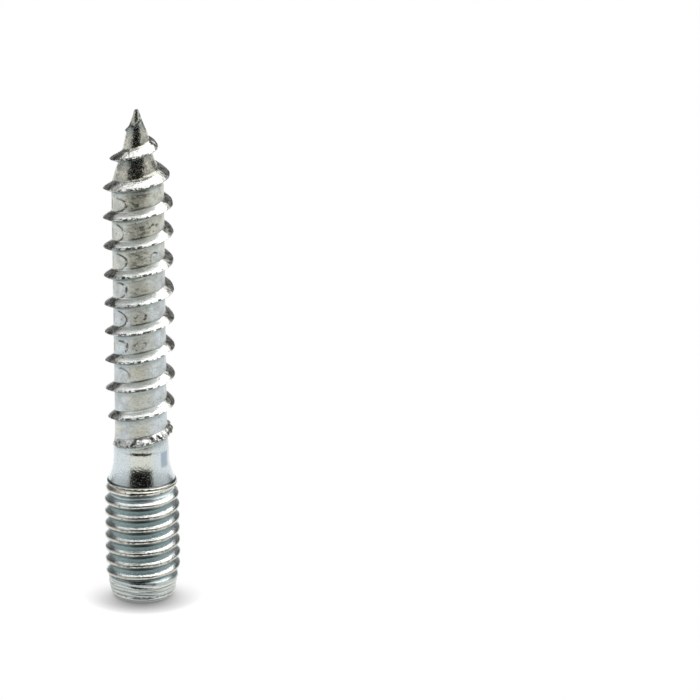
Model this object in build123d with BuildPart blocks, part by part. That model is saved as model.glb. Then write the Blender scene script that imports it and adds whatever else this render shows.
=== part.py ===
"""Hanger bolt: a machine thread at one end, a wood thread with a gimlet point at the other.

Millimetres. The bolt stands on its machine end: the origin is the centre of the end face, and +Z runs
along the bolt to the point. Both threads are right-handed.
"""
import os
from math import atan2, cos, degrees, radians
from build123d import *

# Whole bolt
overall_length = 40.0

# Machine thread
machine_thread_diameter = 6.0
machine_pitch = 1.0
machine_end_length = 9.7
machine_runout_length = 1.5
machine_depth_share = 0.6
machine_reach_share = 0.475
machine_sink_share = 0.1
machine_start_angle = 234.0

# Machine end: its thread leads out of the core over a taper, and its face is a flat ring round a shallow dish
end_lead_height = 0.25
end_lead_share = 0.4
end_taper_length = 1.9
end_ring_width = 0.81
end_dish_wall = 0.25
end_dish_depth = 0.15

# Collar and neck: the collar steps in from the machine thread, the neck steps out from the wood core
collar_step = 0.26
collar_width = 0.2
neck_step = 0.15
neck_flare_height = 2.05
neck_straight_length = 0.45
neck_blend_length = 1.0

# Wood thread, whose ridge is steeper below its crest than above it
wood_thread_diameter = 5.5
wood_core_diameter = 4.1
wood_pitch = 2.34
wood_lower_share = 0.2
wood_upper_share = 0.38
wood_sink_share = 0.1
wood_runout_length = 4.0
wood_start_angle = 115.0

# Gimlet point, with two waists between the shank and the blunt tip
point_length = 5.7
point_tip_diameter = 0.26
waist_height_shares = (0.32, 0.70)
waist_radius_shares = (0.635, 0.40)
waist_ridge_shares = (1.2, 0.15)
waist_reach_shares = (1.1, 0.6)
waist_sink_share = 0.26

# Where a thread ends in a round surface, its crest lies at this share of that surface's radius
thread_end_share = 0.98

full_turn = 360.0

# Radii
machine_crest_radius = machine_thread_diameter / 2
machine_core_radius = machine_crest_radius - machine_depth_share * machine_pitch
machine_base_radius = machine_core_radius - machine_sink_share * machine_pitch
collar_radius = machine_crest_radius - collar_step
dish_radius = machine_core_radius - end_ring_width
wood_crest_radius = wood_thread_diameter / 2
wood_core_radius = wood_core_diameter / 2
wood_base_radius = wood_core_radius * (1 - wood_sink_share)
neck_radius = wood_core_radius + neck_step
tip_radius = point_tip_diameter / 2

# How far a ridge's base lies below and above its crest
machine_reach = machine_reach_share * machine_pitch
machine_reaches = (machine_reach, machine_reach)
end_lead_reach = end_lead_share * machine_reach
end_lead_reaches = (end_lead_reach, end_lead_reach)
wood_lower_reach = wood_lower_share * wood_pitch
wood_upper_reach = wood_upper_share * wood_pitch
wood_reaches = (wood_lower_reach, wood_upper_reach)

# Heights above the end face; a ridge leaves a straight run a little before that run ends
machine_runout_start = machine_end_length - machine_runout_length
machine_shoulder = machine_runout_start - machine_reach
collar_bottom = machine_end_length - collar_width
neck_flare_top = machine_end_length + neck_flare_height
neck_top = neck_flare_top + neck_straight_length
wood_core_bottom = neck_top + neck_blend_length
wood_full_height = neck_top + wood_runout_length
point_bottom = overall_length - point_length
wood_shoulder = point_bottom - wood_upper_reach
waist_heights = [point_bottom + share * point_length for share in waist_height_shares]

# Waists of the point, and the crest of the ridge that climbs over them
waist_radii = [share * wood_core_radius for share in waist_radius_shares]
wood_ridge_height = wood_crest_radius - wood_core_radius
waist_ridge_heights = [share * wood_ridge_height for share in waist_ridge_shares]


def ridge_section(turn_angle, station):
    """The upright section of a thread ridge, in the half plane at turn_angle about the bolt's axis."""
    height, crest_radius, base_radius, lower_reach, upper_reach = station
    with BuildSketch(Plane.XZ.rotated((0, 0, turn_angle))) as section:
        with BuildLine():
            Polyline(
                (base_radius, height - lower_reach),
                (crest_radius, height),
                (base_radius, height + upper_reach),
                close=True,
            )
        make_face()
    return section.sketch


def thread_run(pitch, low_station, high_station):
    """The ridge between two stations, starting in the half plane at angle zero.

    A station is a height, the ridge's crest radius and base radius there, and the reach of its base below and
    above the crest. All of them change evenly from one station to the next, so a run can keep to a shank,
    climb a cone or sink into metal.
    """
    low_height, low_crest_radius = low_station[:2]
    high_height, high_crest_radius = high_station[:2]
    rise = high_height - low_height
    cone_angle = degrees(atan2(high_crest_radius - low_crest_radius, rise))
    slant_pitch = pitch / cos(radians(cone_angle))
    with BuildPart() as run:
        with BuildLine() as crest_line:
            Helix(slant_pitch, rise, low_crest_radius, center=(0, 0, low_height), cone_angle=cone_angle)
        first_section = ridge_section(0, low_station)
        last_section = ridge_section(full_turn * rise / pitch, high_station)
        sweep([first_section, last_section], path=crest_line.line, multisection=True, is_frenet=True)
    return run.part


def thread(pitch, stations, start_angle):
    """A whole thread: the runs from station to station, each turned to where the one below it ends."""
    first_height = stations[0][0]
    runs = []
    for low_station, high_station in zip(stations, stations[1:]):
        turned = start_angle + full_turn * (low_station[0] - first_height) / pitch
        runs.append(thread_run(pitch, low_station, high_station).rotate(Axis.Z, turned))
    return runs


machine_thread = thread(
    machine_pitch,
    [
        (end_lead_height, machine_core_radius * thread_end_share, machine_base_radius, *end_lead_reaches),
        (end_taper_length, machine_crest_radius, machine_base_radius, *machine_reaches),
        (machine_shoulder, machine_crest_radius, machine_base_radius, *machine_reaches),
        (collar_bottom, collar_radius * thread_end_share, machine_base_radius, *machine_reaches),
    ],
    machine_start_angle,
)

neck_base_radius = neck_radius * (1 - wood_sink_share)
waist_base_radii = [radius * (1 - waist_sink_share) for radius in waist_radii]
waist_crest_radii = [radius + ridge for radius, ridge in zip(waist_radii, waist_ridge_heights)]
waist_lower_reaches = [share * wood_lower_reach for share in waist_reach_shares]
waist_upper_reaches = [share * wood_upper_reach for share in waist_reach_shares]
waist_stations = zip(
    waist_heights,
    waist_crest_radii,
    waist_base_radii,
    waist_lower_reaches,
    waist_upper_reaches,
)
wood_thread = thread(
    wood_pitch,
    [
        (neck_top, neck_radius * thread_end_share, neck_base_radius, *wood_reaches),
        (wood_full_height, wood_crest_radius, wood_base_radius, *wood_reaches),
        (wood_shoulder, wood_crest_radius, wood_base_radius, *wood_reaches),
        *waist_stations,
    ],
    wood_start_angle,
)

with BuildPart() as hanger_bolt:
    # Blank with the dished end face, turned about the axis
    with BuildSketch(Plane.XZ):
        with BuildLine():
            Polyline(
                (neck_radius, neck_flare_top),
                (neck_radius, neck_top),
                (wood_core_radius, wood_core_bottom),
                (wood_core_radius, point_bottom),
                (waist_radii[0], waist_heights[0]),
                (waist_radii[1], waist_heights[1]),
                (tip_radius, overall_length),
                (0, overall_length),
                (0, end_dish_depth),
                (dish_radius - end_dish_wall, end_dish_depth),
                (dish_radius, 0),
                (machine_core_radius, 0),
                (machine_core_radius, machine_runout_start),
                (collar_radius, collar_bottom),
                (collar_radius, machine_end_length),
            )
            TangentArc(
                (neck_radius, neck_flare_top),
                (collar_radius, machine_end_length),
                tangent=(0, -1),
            )
        make_face()
    revolve(axis=Axis.Z)

    add(machine_thread)
    add(wood_thread)

hanger_bolt.part.label = "hanger_bolt"
os.makedirs("parts", exist_ok=True)
export_step(hanger_bolt.part, "parts/hanger_bolt.step")
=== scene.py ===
"""Hanger bolt: zinc plated, with a rolled machine thread, a smooth neck and a wood thread on a gimlet point.

The bolt is one closed surface. Its shape is worked out in millimetres and put into the mesh in metres.
"""
import math
from types import SimpleNamespace

import bpy
import numpy as np
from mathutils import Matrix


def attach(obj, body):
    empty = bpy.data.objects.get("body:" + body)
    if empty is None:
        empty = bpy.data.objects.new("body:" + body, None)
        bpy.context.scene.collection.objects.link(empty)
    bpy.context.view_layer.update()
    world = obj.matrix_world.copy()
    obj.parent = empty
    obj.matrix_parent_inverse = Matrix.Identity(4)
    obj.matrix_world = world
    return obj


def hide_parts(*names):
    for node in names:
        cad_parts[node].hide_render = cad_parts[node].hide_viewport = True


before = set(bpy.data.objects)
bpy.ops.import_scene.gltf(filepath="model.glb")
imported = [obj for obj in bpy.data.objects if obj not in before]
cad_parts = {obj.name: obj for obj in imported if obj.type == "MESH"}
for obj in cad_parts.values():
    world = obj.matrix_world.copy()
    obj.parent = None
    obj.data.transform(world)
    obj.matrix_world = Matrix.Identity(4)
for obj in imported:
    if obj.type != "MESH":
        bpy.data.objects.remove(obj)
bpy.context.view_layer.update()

millimetre = 0.001
full_turn = 2 * math.pi

# Bolt: heights are above the end face, and a pair of heights is where a form starts and ends its change
overall_length = 40.0

# End face: a flat ring round a shallow dish, with a rounded edge
dish_depth = 0.15
dish_wall_radii = (1.33, 1.58)
end_edge_round = 0.15
end_face_places = (-0.5, -0.1)

# Machine thread: a line is the radius at some heights, and its blur rounds the corners
machine_pitch = 1.0
machine_crest_height = 0.56
machine_flank_slope = 2.2
machine_nose = 0.33
machine_root_blend = 0.10
machine_line_blur = 0.08
machine_crest_line = [
    (-1, 2.05), (0, 2.40), (0.5, 2.575), (1.3, 2.72), (2.1, 2.95), (2.6, 2.99),
    (8.15, 2.99), (8.7, 2.93), (9.15, 2.87), (9.5, 2.82), (12, 2.75),
]
machine_root_line = [
    (-1, 2.0), (0, 2.38), (0.5, 2.555), (1.3, 2.70), (1.72, 2.76), (2.02, 2.52), (2.3, 2.39),
    (8.2, 2.39), (8.85, 2.50), (9.3, 2.56), (9.62, 2.58), (12, 2.6),
]
machine_wobble = 0.010
machine_wobble_start = (0.1, 1.0)

# Turned rings on the tapered end
ring_spacing = 0.33
ring_relief = 0.030
ring_waver = 1.2
ring_start = (0.05, 0.2)
ring_end = (1.45, 1.75)

# Neck: it flares down to a lip over the collar, and steps in above
neck_start = (9.60, 9.68)
neck_straight_radius = 2.20
neck_flare_round = 4.4
neck_flare_top = 11.75
neck_flare_drop = 2.4
lip_reach = 0.06
lip_end = (9.70, 9.82)
neck_edge_step = 0.045
neck_edge = (12.30, 12.56)
neck_slope_step = 0.16
neck_slope = (12.5, 14.2)
neck_end = (14.2, 16.0)
neck_wood_blend = 0.04

# Wood thread
wood_pitch = 2.337
wood_crest_height = 16.13
wood_core = 2.05
wood_ridge = 0.695
wood_upper_slope = 1.825
wood_upper_nose = 0.20
wood_upper_fillet = 0.05
wood_lower_slope = 2.617
wood_lower_nose = 0.05
wood_lower_fillet = 0.03
wood_fillet_ridges = (0.0, 0.4)
wood_crest_wobble = 0.014
wood_least_steepness = 0.4
wood_steep_start = (15.0, 17.0)
wood_core_blur = 0.06
wood_core_line = [
    (0, wood_core), (34.0, wood_core), (35.4, 1.62), (36.07, 1.33), (36.7, 1.15), (37.5, 0.98),
    (38.3, 0.78), (39.15, 0.43), (39.7, 0.25), (39.9, 0.19), (40.0, 0.12), (41, 0.12),
]
wood_crest_blur = 0.12
wood_crest_line = [
    (11.5, 2.10), (12.2, 2.22), (13.85, 2.46), (14.86, 2.57), (16.1, 2.70),
    (17.2, 2.745), (33.2, 2.745), (34.85, 2.53), (35.9, 2.21), (37.2, 1.61),
    (38.2, 1.0), (38.7, 0.70), (39.2, 0.44), (39.6, 0.26), (41, 0.0),
]

# Crumpled start of the wood thread, and the sway of its helix
lump_relief = 0.065
lump_start = (12.8, 13.3)
lump_end = (14.2, 15.4)
lump_radii = (2.08, 2.25)
sway_reach = 0.035
sway_start = (13.0, 16.0)
sway_end = (36.0, 38.5)

# Mesh of the surface: rows follow each thread's pitch, and lie far apart on the end face
columns = 132
rows_per_turn = 30
spare_rows = 2
first_place = -2.38
tip_overrun = 0.1
place_count = 60001
row_pitch_change = (9.9, 12.2)
end_face_row_stretch = 3.0
end_face_row_places = (-0.6, -0.15)
sharp_corner = 32

# Bell that rounds the corners of a line: its reach in blurs, and its samples
bell_reach = 1.5
bell_samples = 9


def rounded_max(first, second, blend):
    """The larger of two values, with the corner between them rounded over about the blend's width."""
    gap = first - second
    return 0.5 * (first + second + np.sqrt(gap * gap + blend * blend))


def ease(value, low, high):
    """0 below low, 1 above high and a smooth S between them."""
    share = np.clip((value - low) / (high - low), 0.0, 1.0)
    return share * share * (3 - 2 * share)


def soft_line(height, knots, blur):
    """Straight lines through (height, radius) knots, averaged over a bell of the blur's width."""
    knot_heights, knot_radii = np.array(knots).T
    offsets = np.linspace(-bell_reach, bell_reach, bell_samples)
    weights = np.exp(-offsets * offsets)
    weights = weights / weights.sum()
    spread = height[..., None] + blur * offsets
    return (np.interp(spread, knot_heights, knot_radii) * weights).sum(axis=-1)


def ripples(angle, height, seed, waves, turn_waves, height_waves):
    """Smooth random relief between about -1 and 1: a sum of plane waves that close round the bolt.

    Each wave has a whole number of crests round the bolt, up to turn_waves, and up to height_waves crests
    in a millimetre of height.
    """
    dice = np.random.default_rng(seed)
    round_counts = dice.integers(-turn_waves, turn_waves + 1, waves)
    height_rates = dice.uniform(-height_waves, height_waves, waves) * full_turn
    starts = dice.uniform(0, full_turn, waves)
    total = np.zeros_like(angle)
    for round_count, height_rate, start in zip(round_counts, height_rates, starts):
        total += np.cos(round_count * angle + height_rate * height + start)
    return total / math.sqrt(waves)


def distance_from_crest(angle, height, pitch, crest_height):
    """Height above the nearest crest of a right-hand thread whose crest passes crest_height at angle zero."""
    turns = (height - crest_height) / pitch - angle / full_turn
    return (turns - np.round(turns)) * pitch


def machine_end_radius(angle, height):
    """Radius of the machine end: a V thread with a rounded crest and root, shallow on the tapered end.

    The crest follows the taper, the full diameter and the run-out below the collar. On both sides of it the
    flank falls away as a hyperbola does from its nose, until the rounded root takes over. Fine rings, a
    cosine of the height, run round the taper.
    """
    wobble = ripples(angle, height, seed=11, waves=14, turn_waves=9, height_waves=0.4)
    wobble = machine_wobble * (wobble - 1) * ease(height, *machine_wobble_start)
    crest = soft_line(height, machine_crest_line, machine_line_blur)
    root = soft_line(height, machine_root_line, machine_line_blur)
    away = distance_from_crest(angle, height, machine_pitch, machine_crest_height)
    fall = np.hypot(away, machine_nose) - machine_nose
    ring_shift = ring_waver * ripples(angle, height, seed=13, waves=8, turn_waves=5, height_waves=0.3)
    rings = ring_relief * np.cos(full_turn * height / ring_spacing + ring_shift)
    rings = rings * ease(height, *ring_start) * (1 - ease(height, *ring_end))
    return rounded_max(crest - machine_flank_slope * fall, root, machine_root_blend) + rings + wobble


def neck_radius(height):
    """Radius of the smooth neck: an arc that flares down to a lip over the collar.

    Above the arc the neck is straight, and then it steps in, first at a small edge and then in a long slope.
    """
    drop = np.clip(neck_flare_top - height, 0.0, neck_flare_drop)
    arc = np.sqrt(neck_flare_round * neck_flare_round - drop * drop)
    flare = neck_straight_radius + neck_flare_round - arc
    lip = lip_reach * (1 - ease(height, *lip_end))
    edge = neck_edge_step * ease(height, *neck_edge)
    slope = neck_slope_step * ease(height, *neck_slope)
    return flare + lip - edge - slope


def wood_end_radius(angle, height):
    """Radius of the wood end: a waisted core with a ridge that is full and rounded above and steeper below.

    The crest rises out of the neck, keeps to the shank and sinks to the point. Each side of the ridge falls
    away as a hyperbola does from its nose, and meets the core in a small fillet. Where the ridge rises out of
    the neck, its upper side falls less steeply, in step with its height over the core.
    """
    away = distance_from_crest(angle, height, wood_pitch, wood_crest_height)
    wobble = wood_crest_wobble * ripples(angle, height, seed=29, waves=16, turn_waves=14, height_waves=0.3)
    crest = soft_line(height - away, wood_crest_line, wood_crest_blur) + wobble
    core = soft_line(height, wood_core_line, wood_core_blur)
    upper_fall = wood_upper_slope * (np.hypot(away, wood_upper_nose) - wood_upper_nose)
    lower_fall = wood_lower_slope * (np.hypot(away, wood_lower_nose) - wood_lower_nose)
    steepness = np.clip((crest - core) / wood_ridge, wood_least_steepness, 1.0)
    steepness = 1 - (1 - steepness) * (1 - ease(height, *wood_steep_start))
    fall = np.where(away > 0, upper_fall * steepness, lower_fall)
    fillet = np.where(away > 0, wood_upper_fillet, wood_lower_fillet)
    return rounded_max(crest - fall, core, fillet * ease(crest - core, *wood_fillet_ridges))


def bolt_radius(angle, height):
    """Radius of the whole bolt at an angle and a height: the machine end, the neck and the wood end in turn.

    Lumps, a sum of waves, crumple the wood thread's start, and only where it stands out of the neck.
    """
    machine = machine_end_radius(angle, height)
    wood = wood_end_radius(angle, height)
    lump = lump_relief * ripples(angle, height, seed=37, waves=22, turn_waves=24, height_waves=1.5)
    lump = lump * ease(height, *lump_start) * (1 - ease(height, *lump_end))
    wood = wood + lump * ease(wood, *lump_radii)
    neck = neck_radius(height) * (1 - ease(height, *neck_end))
    upper = rounded_max(wood, neck, neck_wood_blend)
    share = ease(height, *neck_start)
    return machine * (1 - share) + upper * share


def end_dish(radius):
    """Height of the end face over its flat ring: a shallow dish in its middle."""
    return dish_depth * (1 - ease(radius, *dish_wall_radii))


def profile_place(along, angle):
    """Radius and height at a place along the bolt's profile.

    Above zero the place is the height on the bolt's side, below zero it is the way in over the end face,
    and past the overall length it is the way in over the blunt tip. The corner at the end face is rounded.
    """
    height = 0.5 * (along + np.sqrt(along * along + end_edge_round * end_edge_round))
    inward = along - height
    over_tip = np.maximum(along - overall_length, 0.0)
    height = np.minimum(height, overall_length)
    radius = bolt_radius(angle, height) + inward - over_tip
    face_share = 1 - ease(along, *end_face_places)
    return np.maximum(radius, 0.0), height * (1 - face_share) + end_dish(radius) * face_share


def thread_sway(angle, height):
    """How far the wood thread sways from an even helix: slow waves, a few hundredths of a millimetre high."""
    on_thread = ease(height, *sway_start) * (1 - ease(height, *sway_end))
    return sway_reach * ripples(angle, height, seed=23, waves=10, turn_waves=3, height_waves=0.10) * on_thread


def rows_along_profile():
    """Places along the profile, and the row number that each of them has.

    Rows follow the threads: going once round the bolt climbs rows_per_turn rows, which is one pitch. So a
    row's spacing is the local pitch over rows_per_turn, and row numbers are the running sum of steps over
    spacing, moved so that one row lies on the wood thread's crest.
    """
    places = np.linspace(first_place, overall_length + tip_overrun, place_count)
    pitch = machine_pitch + (wood_pitch - machine_pitch) * ease(places, *row_pitch_change)
    pitch = pitch + end_face_row_stretch * (1 - ease(places, *end_face_row_places))
    steps = rows_per_turn * np.diff(places) / pitch[1:]
    row_numbers = np.concatenate([[0.0], np.cumsum(steps)])
    crest_row = np.interp(wood_crest_height, places, row_numbers)
    return places, row_numbers - crest_row % 1


def bolt_surface():
    """The closed surface of the bolt, as points in metres and triangles.

    The surface is a grid sheared to follow the threads: column j is at angle j over columns of a turn, and
    row i there is row i plus the same share of rows_per_turn. The last column joins the first one
    rows_per_turn rows higher. Rows past either end fall on one vertex, at the end face's centre or the tip.
    """
    places, row_numbers = rows_along_profile()
    last_row = row_numbers[-1]
    row = np.arange(-rows_per_turn, int(last_row) + spare_rows + rows_per_turn)[:, None]
    column = np.arange(columns)[None, :]
    along_rows = row + rows_per_turn * column / columns
    angle = np.broadcast_to(full_turn * column / columns, along_rows.shape)
    along = np.interp(along_rows, row_numbers, places)
    radius, height = profile_place(along, angle)
    height = height + thread_sway(angle, height)

    count = along_rows.size
    numbers = np.arange(count).reshape(along_rows.shape)
    below = along_rows <= row_numbers[0]
    above = along_rows >= last_row
    numbers = np.where(below, count, np.where(above, count + 1, numbers))
    points = np.stack([radius * np.cos(angle), radius * np.sin(angle), height], axis=-1).reshape(-1, 3)
    points = np.concatenate([points, [[0, 0, end_dish(np.zeros(1))[0]], [0, 0, overall_length]]])

    wrapped = np.concatenate([numbers[:-rows_per_turn], numbers[rows_per_turn:, :1]], axis=1)
    corner_a = wrapped[:-1, :-1].ravel()
    corner_b = wrapped[:-1, 1:].ravel()
    corner_c = wrapped[1:, 1:].ravel()
    corner_d = wrapped[1:, :-1].ravel()
    lower_halves = np.stack([corner_a, corner_b, corner_c], 1)
    upper_halves = np.stack([corner_a, corner_c, corner_d], 1)
    faces = np.concatenate([lower_halves, upper_halves])
    whole = (faces[:, 0] != faces[:, 1]) & (faces[:, 1] != faces[:, 2]) & (faces[:, 2] != faces[:, 0])
    used, faces = np.unique(faces[whole], return_inverse=True)
    return points[used] * millimetre, faces.reshape(-1, 3)


def mesh_from_arrays(name, points, faces):
    """A mesh object from an array of points and an array of triangles, smooth but for its sharp corners."""
    mesh = bpy.data.meshes.new(name)
    mesh.vertices.add(len(points))
    mesh.vertices.foreach_set("co", points.ravel())
    mesh.loops.add(faces.size)
    mesh.loops.foreach_set("vertex_index", faces.ravel())
    mesh.polygons.add(len(faces))
    mesh.polygons.foreach_set("loop_start", np.arange(0, faces.size, 3))
    mesh.update(calc_edges=True)
    mesh.validate()
    mesh.polygons.foreach_set("use_smooth", np.ones(len(mesh.polygons), dtype=bool))
    mesh.set_sharp_from_angle(angle=math.radians(sharp_corner))
    piece = bpy.data.objects.new(name, mesh)
    bpy.context.scene.collection.objects.link(piece)
    return piece


def put_node(tree, kind, values, **settings):
    """A node of one kind with its settings; values gives its inputs a number, a colour or a link."""
    node = tree.nodes.new(kind)
    for name, setting in settings.items():
        setattr(node, name, setting)
    for name, value in values.items():
        if isinstance(value, bpy.types.NodeSocket):
            tree.links.new(value, node.inputs[name])
        else:
            node.inputs[name].default_value = value
    return node


def reckon(tree, operation, *values):
    """The result of one Math node on numbers or links."""
    return put_node(tree, "ShaderNodeMath", dict(enumerate(values)), operation=operation).outputs[0]


def plus(tree, first, second):
    """The sum of two values."""
    return reckon(tree, "ADD", first, second)


def times(tree, first, *others):
    """The product of two or more values."""
    product = first
    for other in others:
        product = reckon(tree, "MULTIPLY", product, other)
    return product


def times_plus(tree, value, factor, start):
    """The start plus the factor times a value."""
    return reckon(tree, "MULTIPLY_ADD", value, factor, start)


def larger(tree, first, second):
    """The larger of two values."""
    return reckon(tree, "MAXIMUM", first, second)


def rest_of(tree, share):
    """What a share leaves of the whole."""
    return reckon(tree, "SUBTRACT", 1.0, share)


def away_from(tree, value, middle):
    """How far a value is from the middle, on either side."""
    return reckon(tree, "ABSOLUTE", reckon(tree, "SUBTRACT", value, middle))


def blend_range(tree, value, low, high):
    """0 where a value is at low, 1 where it is at high and a smooth S between them."""
    values = {"Value": value, "From Min": low, "From Max": high}
    return put_node(tree, "ShaderNodeMapRange", values, interpolation_type="SMOOTHSTEP").outputs["Result"]


def band(tree, value, middle, outer, inner):
    """1 where a value is within inner of the middle, 0 where it is past outer from it."""
    return blend_range(tree, away_from(tree, value, middle), outer, inner)


def stretch_between(tree, value, start, end):
    """1 between two ranges: the first one is where it rises from 0, the second one where it falls to 0."""
    return times(tree, blend_range(tree, value, *start), blend_range(tree, value, *end))


def noise(tree, place, scale, detail):
    """Noise between 0 and 1 with features of about 1 over scale millimetres."""
    values = {"Vector": place, "Scale": scale, "Detail": detail}
    return put_node(tree, "ShaderNodeTexNoise", values).outputs["Fac"]


def noise_patches(tree, place, scale, detail, low, high):
    """Patches of noise: 0 where the noise is below low, 1 where it is above high."""
    return blend_range(tree, noise(tree, place, scale, detail), low, high)


def noise_swing(tree, place, scale, detail, width):
    """Noise that swings about zero, over the width in all."""
    return times_plus(tree, noise(tree, place, scale, detail), width, -width / 2)


def mix_colours(tree, share, first, second):
    """The first colour where the share is 0, the second where it is 1.

    A Mix node has its share at input 0, its two colours at inputs 6 and 7, and the mixed one at output 2.
    """
    return put_node(tree, "ShaderNodeMix", {0: share, 6: first, 7: second}, data_type="RGBA").outputs[2]


# Regions of the bolt: a pair is where a look is absent and where it is full, and angles are from the front
front_turn = 0.75
machine_heights = (9.62, 9.50)
machine_valley_radii = (2.90, 2.60)
wood_heights = (12.3, 13.2)
flank_above_crest = (-0.58, -0.66)
flank_below_crest = (0.86, 0.94)
point_heights = (33.6, 35.8)
front_angles = (0.05, 0.75, 0.05)
# Painted dark reflections: the angles and noise patches of dashes near the front
reflection_dash_angles = (0.1, 0.95, 0.60)
reflection_dash_patches = (3.2, 3.0, 0.47, 0.53)
side_edge_swing = (2.0, 3.0, 0.9)
side_middle = 0.20
side_angles = (0.93, 1.06)
back_angles = (0.0, 2.6, 2.2)


def share_of_turn(tree, angle, height, pitch, crest_height):
    """How far up from the crest below a place is, as a share of the way to the crest above."""
    risen = reckon(tree, "DIVIDE", reckon(tree, "SUBTRACT", height, crest_height), pitch)
    turned = plus(tree, reckon(tree, "DIVIDE", angle, full_turn), front_turn)
    return reckon(tree, "FRACT", reckon(tree, "SUBTRACT", risen, turned))


def bolt_coordinates(tree):
    """The bolt's own cylinder coordinates in millimetres, with the angle from the front.

    valley_up is the way up from halfway between two crests of the wood thread, and crest_up is the way up
    from a crest of the machine thread.
    """
    object_place = tree.nodes.new("ShaderNodeTexCoord").outputs["Object"]
    in_millimetres = {0: object_place, "Scale": 1 / millimetre}
    place = put_node(tree, "ShaderNodeVectorMath", in_millimetres, operation="SCALE").outputs[0]
    axes = put_node(tree, "ShaderNodeSeparateXYZ", {0: place}).outputs
    across, depth, height = axes["X"], axes["Y"], axes["Z"]
    angle = reckon(tree, "ARCTAN2", across, times(tree, depth, -1.0))
    radius = reckon(tree, "SQRT", plus(tree, times(tree, across, across), times(tree, depth, depth)))
    wood_share = share_of_turn(tree, angle, height, wood_pitch, wood_crest_height)
    machine_share = share_of_turn(tree, angle, height, machine_pitch, machine_crest_height)
    valley_up = times(tree, reckon(tree, "SUBTRACT", wood_share, 0.5), wood_pitch)
    crest_up = times(tree, machine_share, machine_pitch)
    return SimpleNamespace(
        place=place, angle=angle, radius=radius, height=height, valley_up=valley_up, crest_up=crest_up)


def mark_regions(tree, at):
    """Adds to the coordinates the shares, from 0 to 1, that each region of the bolt has in a place."""
    at.on_machine = blend_range(tree, at.height, *machine_heights)
    at.machine_valley = times(tree, at.on_machine, blend_range(tree, at.radius, *machine_valley_radii))
    at.on_wood = blend_range(tree, at.height, *wood_heights)
    at.above_crest = blend_range(tree, at.valley_up, *flank_above_crest)
    flank = larger(tree, at.above_crest, blend_range(tree, at.valley_up, *flank_below_crest))
    at.wood_flank = times(tree, at.on_wood, flank)
    at.wood_valley = times(tree, at.on_wood, rest_of(tree, flank))
    at.on_point = blend_range(tree, at.height, *point_heights)
    at.front = band(tree, at.angle, *front_angles)
    # Painted dark reflections: dashes in noise patches near the front, used on crests and collar
    dashes = noise_patches(tree, at.place, *reflection_dash_patches)
    at.front_dashes = times(tree, band(tree, at.angle, *reflection_dash_angles), dashes)
    ragged_angle = plus(tree, at.angle, noise_swing(tree, at.place, *side_edge_swing))
    off_front = blend_range(tree, away_from(tree, ragged_angle, side_middle), *side_angles)
    at.side = times(tree, off_front, band(tree, at.angle, *back_angles))


# Plating
cool_grey = (0.57, 0.625, 0.645, 1)
warm_grey = (0.60, 0.60, 0.49, 1)
cloud_patches = (0.55, 4.0, 0.52, 0.70)
# Painted warm light: how much warmer the front is made
front_painted_warmth = 0.75
upper_warmth = 0.55
upper_warmth_heights = (22.0, 33.0)


def plating_colour(tree, at):
    """Cool grey plating, warmer in clouds on the wood end and towards the point, and painted warm light at
    the front.
    """
    warmth = times(tree, noise_patches(tree, at.place, *cloud_patches), at.on_wood)
    # Painted warm light along the front, on top of the clouds
    warmth = plus(tree, warmth, times(tree, at.front, front_painted_warmth))
    rising = blend_range(tree, at.height, *upper_warmth_heights)
    warmth = plus(tree, warmth, times(tree, rising, upper_warmth))
    warmth = reckon(tree, "MINIMUM", times(tree, warmth, rest_of(tree, at.on_machine)), 1.0)
    return mix_colours(tree, warmth, cool_grey, warm_grey)


# Machine thread; the way up is from one crest to the next
valley_grey = (0.56, 0.64, 0.645, 1)
# Painted light: a lighter band low in each valley, above the crest below, less at the front
valley_painted_light_grey = (0.78, 0.86, 0.86, 1)
valley_painted_light_start = (0.10, 0.25)
valley_painted_light_end = (0.66, 0.32)
valley_painted_light_heights = (1.9, 2.3)
valley_painted_light_front_gain = -0.3
# Painted shade: a dark green band under each crest, stronger at the front
valley_painted_shade_green = (0.085, 0.14, 0.138, 1)
valley_painted_shade_start = (0.36, 0.71)
valley_painted_shade_end = (0.98, 0.88)
valley_painted_shade_heights = (9.35, 9.10)
valley_painted_shade_share = 0.72
valley_painted_shade_front_gain = 0.20
crest_tan = (0.56, 0.545, 0.485, 1)
tan_crest_radii = (2.84, 2.95)
# Painted dark reflections as dashes along the crests, near the front
crest_reflection_black = (0.06, 0.06, 0.05, 1)
crest_reflection_radii = (2.95, 2.985)
crest_reflection_share = 0.75


def machine_thread_colour(tree, at, colour):
    """Blue-green valleys with painted light low down and painted shade under the next crest.

    Tan crests carry dashes of painted dark reflection.
    """
    colour = mix_colours(tree, at.machine_valley, colour, valley_grey)

    # Painted light low in each valley, less at the front
    light = stretch_between(tree, at.crest_up, valley_painted_light_start, valley_painted_light_end)
    light = times(tree, light, at.on_machine, blend_range(tree, at.height, *valley_painted_light_heights))
    light = times(tree, light, times_plus(tree, at.front, valley_painted_light_front_gain, 1.0))
    colour = mix_colours(tree, light, colour, valley_painted_light_grey)

    # Painted shade under each crest, stronger at the front
    shade = stretch_between(tree, at.crest_up, valley_painted_shade_start, valley_painted_shade_end)
    shade = times(tree, shade, blend_range(tree, at.height, *valley_painted_shade_heights))
    shade = times(tree, shade, times_plus(tree, at.front, valley_painted_shade_front_gain, valley_painted_shade_share))
    colour = mix_colours(tree, shade, colour, valley_painted_shade_green)

    tan_crest = times(tree, at.on_machine, blend_range(tree, at.radius, *tan_crest_radii))
    colour = mix_colours(tree, tan_crest, colour, crest_tan)
    # Painted dark reflections: dashes along the crests, near the front
    dashes = times(tree, at.on_machine, blend_range(tree, at.radius, *crest_reflection_radii), at.front_dashes)
    return mix_colours(tree, times(tree, dashes, crest_reflection_share), colour, crest_reflection_black)


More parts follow.
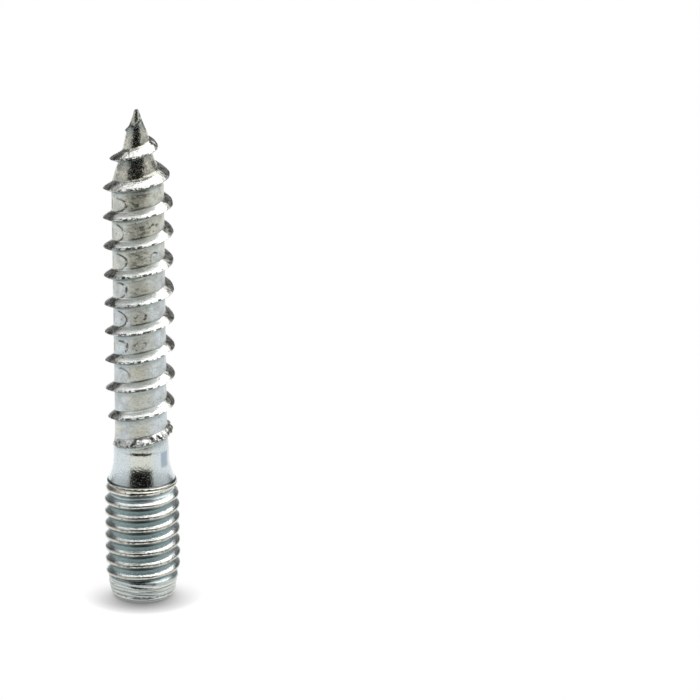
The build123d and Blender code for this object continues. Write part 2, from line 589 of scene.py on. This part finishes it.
# Collar and tapered end
collar_tan = (0.66, 0.64, 0.57, 1)
collar_start = (9.05, 9.15)
collar_end = (9.74, 9.70)
# Painted shade lines at the lip's edge and the collar, and painted dark reflection dashes below them
collar_painted_dark = (0.05, 0.05, 0.045, 1)
collar_painted_dark_share = 0.85
lip_shade_line = (9.80, 0.08, 0.04)
collar_shade_line = (9.56, 0.06, 0.02)
collar_reflection_line = (9.28, 0.16, 0.08)
# Painted light and shade of the turned rings: dark green and light tan stripes on the taper
taper_ring_painted_shade = (0.40, 0.46, 0.46, 1)
taper_ring_painted_light = (0.74, 0.72, 0.64, 1)
taper_ring_waves = (-0.3, 0.6)
taper_ring_share = 0.8
taper_heights = (1.85, 1.60)


def collar_and_taper_colour(tree, at, colour):
    """A warm collar with painted shade lines and dashes of painted dark reflection.

    Turned rings, a sine of the height, are painted on the taper in light and shade.
    """
    collar = stretch_between(tree, at.height, collar_start, collar_end)
    colour = mix_colours(tree, collar, colour, collar_tan)
    # Painted shade lines at the lip's edge and the collar, and dashes of painted dark reflection
    lines = larger(tree, band(tree, at.height, *lip_shade_line), band(tree, at.height, *collar_shade_line))
    lines = larger(tree, lines, times(tree, at.front_dashes, band(tree, at.height, *collar_reflection_line)))
    colour = mix_colours(tree, times(tree, lines, collar_painted_dark_share), colour, collar_painted_dark)

    # Painted light and shade of the turned rings, a sine of the height
    waves = reckon(tree, "SINE", times(tree, at.height, full_turn / ring_spacing))
    rings = mix_colours(tree, blend_range(tree, waves, *taper_ring_waves), taper_ring_painted_shade, taper_ring_painted_light)
    on_taper = blend_range(tree, at.height, *taper_heights)
    return mix_colours(tree, times(tree, on_taper, taper_ring_share), colour, rings)


# Wood core and neck
point_tan = (0.68, 0.65, 0.55, 1)
dull_grey = (0.30, 0.30, 0.27, 1)
dull_patches = (1.3, 6.0, 0.32, 0.68)
dull_heights = (20.0, 34.0)
dull_share = 0.48
dull_height_gain = 0.22
dull_front_gain = -0.6
# Painted reflection: a blue patch at the right of the neck
neck_blue_reflection = (0.27, 0.34, 0.41, 1)
neck_blue_reflection_angles = (1.02, 0.26, 0.14)
neck_blue_reflection_heights = (11.75, 0.75, 0.50)
neck_blue_reflection_share = 0.85


def core_and_neck_colour(tree, at, colour):
    """A wood core that is tan at the point and dull in clouds off the front.

    A blue patch on the neck is a painted reflection.
    """
    colour = mix_colours(tree, times(tree, at.on_point, at.wood_valley), colour, point_tan)
    dull = times(tree, at.wood_valley, noise_patches(tree, at.place, *dull_patches))
    rising = blend_range(tree, at.height, *dull_heights)
    dull = times(tree, dull, times_plus(tree, rising, dull_height_gain, dull_share))
    dull = times(tree, dull, times_plus(tree, at.front, dull_front_gain, 1.0))
    colour = mix_colours(tree, dull, colour, dull_grey)
    # Painted blue reflection on the neck
    patch = times(tree, band(tree, at.angle, *neck_blue_reflection_angles), band(tree, at.height, *neck_blue_reflection_heights))
    return mix_colours(tree, times(tree, patch, neck_blue_reflection_share), colour, neck_blue_reflection)


# Flanks of the wood thread, with painted highlight and shade
# Painted highlight on the upper flanks, away from the sides and the point
flank_painted_highlight = (0.94, 0.94, 0.91, 1)
flank_painted_highlight_heights = (38.2, 37.6)
# Painted shade on the flanks at both sides
flank_side_painted_shade = (0.60, 0.59, 0.54, 1)
# Painted shade under the wood crest
under_crest_painted_shade = (0.26, 0.32, 0.32, 1)
under_crest_range = (0.40, 0.85)
under_crest_share = 0.65


def wood_flank_colour(tree, at, colour):
    """Flanks with a painted highlight above the crest and painted shade at both sides and under the crest."""
    # Painted highlight on the upper flanks
    bright = times(tree, at.on_wood, at.above_crest, rest_of(tree, at.side))
    bright = times(tree, bright, blend_range(tree, at.height, *flank_painted_highlight_heights))
    colour = mix_colours(tree, bright, colour, flank_painted_highlight)
    # Painted shade on the flanks at both sides
    colour = mix_colours(tree, times(tree, at.wood_flank, at.side), colour, flank_side_painted_shade)
    # Painted shade under the wood crest
    under_crest = times(tree, at.on_wood, blend_range(tree, at.valley_up, *under_crest_range))
    return mix_colours(tree, times(tree, under_crest, under_crest_share), colour, under_crest_painted_shade)


# Tarnish and grime
tarnish_brown = (0.14, 0.12, 0.08, 1)
tarnish_noise = (1.9, 6.0)
tarnish_heights = (18.0, 35.0)
tarnish_start = 0.72
tarnish_start_drop = 0.16
tarnish_full = 0.78
tarnish_share = 0.8
grime_brown = (0.08, 0.07, 0.045, 1)
grime_stretch = (1.0, 1.0, 2.5)
grime_streaks = (2.2, 4.0, 0.47, 0.54)
grime_patches = (1.0, 2.0, 0.42, 0.56)
grime_share = 0.18
grime_height_gain = 0.80


def tarnish_colour(tree, at, colour):
    """Brown tarnish, most of it near the point, and streaks of grime along the front of the wood core.

    The streaks are patches of a noise that is drawn together in height, within wider patches.
    """
    rising = blend_range(tree, at.height, *tarnish_heights)
    start = reckon(tree, "SUBTRACT", tarnish_start, times(tree, rising, tarnish_start_drop))
    tarnish = blend_range(tree, noise(tree, at.place, *tarnish_noise), start, tarnish_full)
    tarnish = times(tree, tarnish, at.wood_valley, tarnish_share)
    colour = mix_colours(tree, tarnish, colour, tarnish_brown)

    stretched = {0: at.place, 1: grime_stretch}
    streak_place = put_node(tree, "ShaderNodeVectorMath", stretched, operation="MULTIPLY").outputs[0]
    grime = noise_patches(tree, streak_place, *grime_streaks)
    grime = times(tree, grime, noise_patches(tree, at.place, *grime_patches), at.wood_valley, at.front)
    grime = times(tree, grime, times_plus(tree, rising, grime_height_gain, grime_share))
    return mix_colours(tree, grime, colour, grime_brown)


# Rolling folds; an oval is its middle in degrees, and its half width and half height in millimetres
fold_black = (0.03, 0.03, 0.026, 1)
fold_share = 0.92
fold_line_width = 0.115
fold_line_edges = (1.5, 0.5)
fold_patches = (2.4, 2.0, 0.33, 0.46)
arc_oval = (-56, 1.04, 0.63)
arc_swing = (0.45, 1.0, 1.0)
arc_right_half = (0.0, 0.3)
arc_start = (17.5, 20.5)
arc_end = (33.6, 33.0)
upright_line = (-0.55, 0.14, 0.06)
upright_reach = (0.0, 0.47, 0.35)
upright_patches = (0.35, 0.0, 0.47, 0.53)
small_oval_swing = (1.4, 2.0, 1.8)
small_oval_patches = (3.0, 2.0, 0.44, 0.58)
front_oval = (4, 0.46, 0.28)
front_oval_heights = (22.6, 2.4, 1.9)
right_oval = (39, 0.34, 0.26)
right_oval_heights = (30.2, 2.4, 1.9)


def oval_fold(tree, at, oval, waver):
    """A thin wavering oval line in the wood thread's valley, and the way round from its middle.

    The line is where the way round in half widths and the way up in half heights, squared and added,
    make one.
    """
    middle, half_width, half_height = oval
    off_middle = reckon(tree, "SUBTRACT", at.angle, math.radians(middle))
    sideways = times(tree, off_middle, wood_core / half_width)
    upward = reckon(tree, "DIVIDE", at.valley_up, half_height)
    reach = reckon(tree, "SQRT", plus(tree, times(tree, sideways, sideways), times(tree, upward, upward)))
    away = away_from(tree, plus(tree, reach, waver), 1.0)
    outer, inner = (edge * fold_line_width / half_width for edge in fold_line_edges)
    return blend_range(tree, away, outer, inner), sideways


def rolling_fold_colour(tree, at, colour):
    """Dark folds: an arc and an upright line at the left of most turns, and small ovals nearer the front."""
    arc, sideways = oval_fold(tree, at, arc_oval, noise_swing(tree, at.place, *arc_swing))
    arc = times(tree, arc, blend_range(tree, sideways, *arc_right_half))
    upright = times(tree, band(tree, sideways, *upright_line), band(tree, at.valley_up, *upright_reach))
    upright = times(tree, upright, noise_patches(tree, at.place, *upright_patches))
    left = times(tree, larger(tree, arc, upright), stretch_between(tree, at.height, arc_start, arc_end))

    waver = noise_swing(tree, at.place, *small_oval_swing)
    front = times(tree, oval_fold(tree, at, front_oval, waver)[0], band(tree, at.height, *front_oval_heights))
    right = times(tree, oval_fold(tree, at, right_oval, waver)[0], band(tree, at.height, *right_oval_heights))
    small = times(tree, larger(tree, front, right), noise_patches(tree, at.place, *small_oval_patches))

    kept = times(tree, at.wood_valley, noise_patches(tree, at.place, *fold_patches))
    fold = times(tree, larger(tree, left, small), kept)
    return mix_colours(tree, times(tree, fold, fold_share), colour, fold_black)


# Dark marks, and painted dark reflections along the wood crest
wood_crest_reflection_black = (0.04, 0.04, 0.03, 1)
wood_crest_reflection_above = (-0.97, -1.07)
wood_crest_reflection_below = (1.10, 1.14)
wood_crest_reflection_share = 0.93
mottle_black = (0.07, 0.065, 0.05, 1)
mottle_patches = (3.4, 4.0, 0.44, 0.55)
mottle_share = 0.80
mottle_upper_heights = (33.0, 35.0)
mottle_lower_heights = (15.2, 13.8)
mottle_end_share = 0.5
dot_black = (0.08, 0.08, 0.07, 1)
dot_line = (0.52, 0.10, 0.04)
dot_patches = (3.5, 3.0, 0.48, 0.56)
dot_share = 0.8


def dark_mark_colour(tree, at, colour):
    """A broken line of painted dark reflection along the wood crest, mottled flanks, and dots round the
    taper.

    The flanks are mottled at their sides and ends.
    """
    # Painted dark reflections: a broken line along the wood crest, near the front
    above = blend_range(tree, at.valley_up, *wood_crest_reflection_above)
    below = blend_range(tree, at.valley_up, *wood_crest_reflection_below)
    dashes = times(tree, at.front_dashes, at.on_wood, larger(tree, above, below))
    colour = mix_colours(tree, times(tree, dashes, wood_crest_reflection_share), colour, wood_crest_reflection_black)

    # Black mottle on the flanks, at their sides and towards both ends of the thread
    upper_end = blend_range(tree, at.height, *mottle_upper_heights)
    lower_end = blend_range(tree, at.height, *mottle_lower_heights)
    mottle_reach = larger(tree, at.side, times(tree, larger(tree, upper_end, lower_end), mottle_end_share))
    mottle = times(tree, noise_patches(tree, at.place, *mottle_patches), at.wood_flank, mottle_reach)
    colour = mix_colours(tree, times(tree, mottle, mottle_share), colour, mottle_black)

    dots = times(tree, band(tree, at.height, *dot_line), noise_patches(tree, at.place, *dot_patches))
    return mix_colours(tree, times(tree, dots, dot_share), colour, dot_black)


# Relief of the plating; depths are in millimetres, and each noise is its scale and detail
grain_noise = (8.0, 3.0)
grain_depth = 0.014
swell_noise = (2.2, 2.0)
swell_depth = 0.012
flank_swell_depth = 0.018
point_swell_depth = 0.06
pit_noise = (5.0, 3.0)
flank_pit_depth = 0.012
wood_crest_pit_depth = 0.07
wood_crest_pit_range = (1.05, 1.13)
machine_crest_pit_depth = 0.025
machine_crest_pit_radii = (2.85, 2.95)


def plating_relief(tree, at):
    """Fine relief in metres: a grain, a swell that is deeper on flanks and point, and pitted crests."""
    grain = times(tree, noise(tree, at.place, *grain_noise), grain_depth)
    deep_swell = times_plus(tree, at.wood_flank, flank_swell_depth, swell_depth)
    deep_swell = times_plus(tree, at.on_point, point_swell_depth, deep_swell)
    swell = times(tree, noise(tree, at.place, *swell_noise), deep_swell)
    near_crest = blend_range(tree, away_from(tree, at.valley_up, 0.0), *wood_crest_pit_range)
    flank_depth = times_plus(tree, near_crest, wood_crest_pit_depth, flank_pit_depth)
    flank_pits = times(tree, at.wood_flank, flank_depth)
    machine_crest = times(tree, at.on_machine, blend_range(tree, at.radius, *machine_crest_pit_radii))
    pit_depth = plus(tree, flank_pits, times(tree, machine_crest, machine_crest_pit_depth))
    pits = times(tree, noise(tree, at.place, *pit_noise), pit_depth)
    return times(tree, plus(tree, plus(tree, grain, swell), pits), millimetre)


# Specks and gloss
speckle_grey = (0.20, 0.20, 0.17, 1)
speckle_patches = (6.5, 4.0, 0.50, 0.66)
speckle_share = 0.42
speck_grey = (0.45, 0.45, 0.42, 1)
speck_patches = (11.0, 1.0, 0.55, 0.67)
speck_share = 0.5
speck_dullness = 0.28
gloss_noise = (3.0, 3.0)
least_roughness = 0.09
uneven_roughness = 0.08
machine_valley_roughness = 0.16
wood_roughness = 0.17
point_roughness = -0.07


def zinc_plating():
    """Bright zinc plating: cloudy cool and warm greys, a fine grain, and dark rolling folds and grime.

    Its patterns are placed by the bolt's own cylinder coordinates. Some of them are painted light and shade:
    light and shade in the machine thread's valleys and taper rings, dark reflections along the crests and
    collar, shade lines at the collar, warm light along the front, a blue reflection on the neck, and
    highlights and shade on the wood flanks and under the wood crest. Each of them is laid over the ones
    before it. Last come a dark speckle on the wood core and dull specks all over, light where the metal
    mirrors something dark.
    """
    material = bpy.data.materials.new("zinc_plating")
    material.use_nodes = True
    tree = material.node_tree
    tree.nodes.clear()
    at = bolt_coordinates(tree)
    mark_regions(tree, at)

    colour = plating_colour(tree, at)
    colour = machine_thread_colour(tree, at, colour)
    colour = collar_and_taper_colour(tree, at, colour)
    colour = core_and_neck_colour(tree, at, colour)
    colour = wood_flank_colour(tree, at, colour)
    colour = tarnish_colour(tree, at, colour)
    colour = rolling_fold_colour(tree, at, colour)
    colour = dark_mark_colour(tree, at, colour)
    speckle = times(tree, at.wood_valley, noise_patches(tree, at.place, *speckle_patches))
    colour = mix_colours(tree, times(tree, speckle, speckle_share), colour, speckle_grey)
    specks = noise_patches(tree, at.place, *speck_patches)
    colour = mix_colours(tree, times(tree, specks, speck_share), colour, speck_grey)
    metallic = rest_of(tree, times(tree, specks, speck_dullness))

    roughness = times_plus(tree, noise(tree, at.place, *gloss_noise), uneven_roughness, least_roughness)
    roughness = plus(tree, roughness, times(tree, at.machine_valley, machine_valley_roughness))
    on_wood_roughness = times_plus(tree, at.on_point, point_roughness, wood_roughness)
    roughness = plus(tree, roughness, times(tree, at.on_wood, on_wood_roughness))

    relief = plating_relief(tree, at)
    bump = put_node(tree, "ShaderNodeBump", {"Strength": 1.0, "Distance": 1.0, "Height": relief})
    looks = {
        "Base Color": colour,
        "Roughness": roughness,
        "Metallic": metallic,
        "Normal": bump.outputs["Normal"],
    }
    metal = put_node(tree, "ShaderNodeBsdfPrincipled", looks)
    put_node(tree, "ShaderNodeOutputMaterial", {"Surface": metal.outputs["BSDF"]})
    return material


# Studio: bearings from the front and heights over the horizon in degrees, and light as colours
side_wall_bearings = (128, 98)
side_wall_low = (0.88, 0.90, 0.91, 1)
side_wall_high = (0.46, 0.48, 0.50, 1)
back_wall_low = (0.30, 0.31, 0.31, 1)
back_wall_high = (0.07, 0.073, 0.073, 1)
wall_heights = (0, 32)
ceiling_light = (1.25, 1.26, 1.27, 1)
ceiling_heights = (36, 54)
dark_front_grey = (0.006, 0.006, 0.006, 1)
dark_front_bearings = (51, 36)
dark_front_heights = (62, 56)
key_light = (2.1, 2.1, 2.1, 1)
key_direction = (0.42, 0.0, 0.9075)
key_spread = (42, 30)
plain_white = (1, 1, 1, 1)


def studio_world():
    """A white studio: for the camera plain white, for the metal grey walls, a key light and a dark front.

    The key light is a soft round patch high on the right. The dark front is the side that the picture is
    taken from, from the floor up to about 58 degrees.
    """
    world = bpy.data.worlds.new("studio")
    world.use_nodes = True
    bpy.context.scene.world = world
    tree = world.node_tree
    tree.nodes.clear()
    direction = tree.nodes.new("ShaderNodeTexCoord").outputs["Generated"]
    axes = put_node(tree, "ShaderNodeSeparateXYZ", {0: direction}).outputs
    bearing = reckon(tree, "ARCTAN2", axes["X"], times(tree, axes["Y"], -1.0))
    bearing = reckon(tree, "ABSOLUTE", bearing)

    def between_bearings(bearings):
        """0 at the first bearing, 1 at the second."""
        return blend_range(tree, bearing, *np.radians(bearings))

    def between_heights(heights):
        """0 at the first height over the horizon, 1 at the second."""
        return blend_range(tree, axes["Z"], *np.sin(np.radians(heights)))

    side_wall = mix_colours(tree, between_heights(wall_heights), side_wall_low, side_wall_high)
    back_wall = mix_colours(tree, between_heights(wall_heights), back_wall_low, back_wall_high)
    room = mix_colours(tree, between_bearings(side_wall_bearings), back_wall, side_wall)
    room = mix_colours(tree, between_heights(ceiling_heights), room, ceiling_light)
    dark = times(tree, between_bearings(dark_front_bearings), between_heights(dark_front_heights))
    room = mix_colours(tree, dark, room, dark_front_grey)
    towards_key = {0: direction, 1: key_direction}
    nearness = put_node(tree, "ShaderNodeVectorMath", towards_key, operation="DOT_PRODUCT").outputs["Value"]
    key = blend_range(tree, nearness, *np.cos(np.radians(key_spread)))
    room = mix_colours(tree, key, room, key_light)

    lit = put_node(tree, "ShaderNodeBackground", {"Color": room, "Strength": 1.0}).outputs[0]
    white = put_node(tree, "ShaderNodeBackground", {"Color": plain_white, "Strength": 1.0}).outputs[0]
    seen = tree.nodes.new("ShaderNodeLightPath").outputs["Is Camera Ray"]
    shown = put_node(tree, "ShaderNodeMixShader", {0: seen, 1: lit, 2: white})
    put_node(tree, "ShaderNodeOutputWorld", {"Surface": shown.outputs[0]})


# Floor: sizes in metres, and the light that it adds for the metal to what falls on it
floor_side = 1.0
floor_front = 0.092
floor_back = 1.0
floor_grey = (0.88, 0.88, 0.89, 1)
floor_glow = 0.22
# Painted shadow: the reach and way of the occlusion test, and how it darkens the floor's glow
shadow_reach = 0.0023
painted_shadow_way = {"X": 0.0, "Y": 0.90, "Z": 0.436}
shadow_samples = 16
shadow_gain = 1.11
shadow_darkest = 0.04


def pale_floor():
    """A flat white floor that reads as white, also in the metal, with a painted shadow of the bolt.

    It ends a little in front of the bolt, so the metal mirrors its edge. The shadow is painted, not cast by a
    lamp: the camera sees the floor as a white glow, darkened by how much the bolt hides, within a few
    millimetres, of the sky behind and above, so it falls mostly in front.
    """
    points = np.array([[-floor_side, -floor_front, 0], [floor_side, -floor_front, 0],
                       [floor_side, floor_back, 0], [-floor_side, floor_back, 0]])
    floor = mesh_from_arrays("floor", points, np.array([[0, 1, 2], [0, 2, 3]]))
    material = bpy.data.materials.new("white_floor")
    material.use_nodes = True
    tree = material.node_tree
    tree.nodes.clear()
    ray = tree.nodes.new("ShaderNodeLightPath").outputs
    matt = put_node(tree, "ShaderNodeBsdfDiffuse", {"Color": floor_grey})
    mirrored = larger(tree, ray["Is Glossy Ray"], ray["Is Transmission Ray"])
    glow = put_node(tree, "ShaderNodeEmission", {"Strength": times(tree, mirrored, floor_glow)})
    lit = put_node(tree, "ShaderNodeAddShader", {0: matt.outputs[0], 1: glow.outputs[0]})
    # Painted shadow: the camera's white glow is darkened where an occlusion test meets the bolt
    occlusion_way = put_node(tree, "ShaderNodeCombineXYZ", painted_shadow_way).outputs[0]
    occlusion_test = {"Distance": shadow_reach, "Normal": occlusion_way}
    openness = put_node(tree, "ShaderNodeAmbientOcclusion", occlusion_test, samples=shadow_samples).outputs["AO"]
    shade = larger(tree, times_plus(tree, openness, shadow_gain, 1 - shadow_gain), shadow_darkest)
    white = put_node(tree, "ShaderNodeEmission", {"Color": plain_white, "Strength": shade})
    looks = {0: ray["Is Camera Ray"], 1: lit.outputs[0], 2: white.outputs[0]}
    shown = put_node(tree, "ShaderNodeMixShader", looks)
    put_node(tree, "ShaderNodeOutputMaterial", {"Surface": shown.outputs[0]})
    floor.data.materials.append(material)


# Camera: places in metres, lens in millimetres, tilt in degrees below the horizon
camera_place = (0.01653, -0.3515, 0.13511)
camera_tilt = 18.07
camera_lens = 241.7
camera_sensor = 36.0
camera_clips = (0.01, 50.0)


def photo_camera():
    """A long lens from a little above, with the bolt to the left in a square picture."""
    camera = bpy.data.cameras.new("camera")
    camera.sensor_width = camera_sensor
    camera.lens = camera_lens
    camera.clip_start, camera.clip_end = camera_clips
    viewer = bpy.data.objects.new("camera", camera)
    viewer.location = camera_place
    viewer.rotation_euler = (math.radians(90 - camera_tilt), 0, 0)
    bpy.context.scene.collection.objects.link(viewer)
    bpy.context.scene.camera = viewer


points, faces = bolt_surface()
bolt = mesh_from_arrays("hanger_bolt_surface", points, faces)
bolt.data.materials.append(zinc_plating())
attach(bolt, "root")
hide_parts("hanger_bolt")

pale_floor()
studio_world()
photo_camera()
bpy.context.scene.view_settings.view_transform = "Standard"
